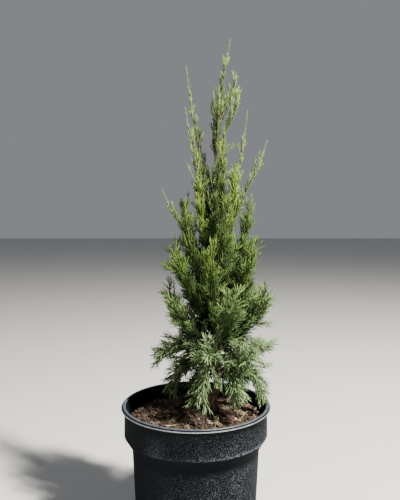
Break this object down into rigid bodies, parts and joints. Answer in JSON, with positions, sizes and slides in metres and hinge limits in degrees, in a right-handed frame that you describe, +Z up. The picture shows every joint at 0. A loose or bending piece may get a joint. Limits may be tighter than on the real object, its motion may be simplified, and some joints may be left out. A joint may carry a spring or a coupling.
{
  "type": "potted spartan chinese juniper",
  "caption": "Young columnar evergreen with a leaning trunk, drooping lower boughs and upright whips, in a round nursery pot filled with bark mix.",
  "frame": {"origin": "centre of the pot's flat underside", "axes": "+Z up along the plant, -Y towards the front of the pictured view, +X to its right"},
  "size_m": [0.2638, 0.25, 0.8741],
  "materials": {
    "pot": "black moulded plastic with a fine leathery grain, dusty",
    "soil": "moist bark potting mix with paler chips on top",
    "trunk_bark": "reddish-brown bark that peels in thin strips",
    "bough_bark": "young brown bark",
    "foliage_crown": "dull evergreen scale foliage, bluer below and yellower towards the top",
    "foliage_heart": "dull evergreen scale foliage, bluer below and yellower towards the top",
    "foliage_leader": "dull evergreen scale foliage, bluer below and yellower towards the top",
    "foliage_low": "dull evergreen scale foliage, bluer below and yellower towards the top",
    "foliage_middle": "dull evergreen scale foliage, bluer below and yellower towards the top",
    "foliage_shoulder": "dull evergreen scale foliage, bluer below and yellower towards the top",
    "foliage_skirt": "dull evergreen scale foliage, bluer below and yellower towards the top",
    "foliage_spire": "dull evergreen scale foliage, bluer below and yellower towards the top",
    "foliage_upper": "dull evergreen scale foliage, bluer below and yellower towards the top",
    "foliage_whip": "dull evergreen scale foliage, bluer below and yellower towards the top"
  },
  "bodies": {
    "root": {"pot": "pot", "soil": "soil", "trunk": "trunk_bark", "bough_low_1": "bough_bark", "bough_low_2": "bough_bark", "bough_low_3": "bough_bark", "bough_low_4": "bough_bark", "bough_low_5": "bough_bark", "bough_low_6": "bough_bark", "bough_skirt_1": "bough_bark", "bough_skirt_2": "bough_bark", "bough_skirt_3": "bough_bark", "bough_skirt_4": "bough_bark", "bough_skirt_5": "bough_bark", "bough_skirt_6": "bough_bark", "mass_crown_1": "foliage_crown", "mass_crown_2": "foliage_crown", "mass_crown_3": "foliage_crown", "mass_crown_4": "foliage_crown", "mass_heart_1": "foliage_heart", "mass_heart_2": "foliage_heart", "mass_leader": "foliage_leader", "mass_low_1": "foliage_low", "mass_low_2": "foliage_low", "mass_low_3": "foliage_low", "mass_low_4": "foliage_low", "mass_low_5": "foliage_low", "mass_low_6": "foliage_low", "mass_middle_1": "foliage_middle", "mass_middle_2": "foliage_middle", "mass_middle_3": "foliage_middle", "mass_middle_4": "foliage_middle", "mass_middle_5": "foliage_middle", "mass_middle_6": "foliage_middle", "mass_shoulder_1": "foliage_shoulder", "mass_shoulder_2": "foliage_shoulder", "mass_shoulder_3": "foliage_shoulder", "mass_shoulder_4": "foliage_shoulder", "mass_shoulder_5": "foliage_shoulder", "mass_shoulder_6": "foliage_shoulder", "mass_skirt_1": "foliage_skirt", "mass_skirt_2": "foliage_skirt", "mass_skirt_3": "foliage_skirt", "mass_skirt_4": "foliage_skirt", "mass_skirt_5": "foliage_skirt", "mass_skirt_6": "foliage_skirt", "mass_spire_1": "foliage_spire", "mass_spire_2": "foliage_spire", "mass_spire_3": "foliage_spire", "mass_upper_1": "foliage_upper", "mass_upper_2": "foliage_upper", "mass_upper_3": "foliage_upper", "mass_upper_4": "foliage_upper", "mass_upper_5": "foliage_upper", "mass_whip_1": "foliage_whip", "mass_whip_2": "foliage_whip", "mass_whip_3": "foliage_whip", "mass_whip_4": "foliage_whip", "mass_whip_5": "foliage_whip"}
  },
  "joints": []
}
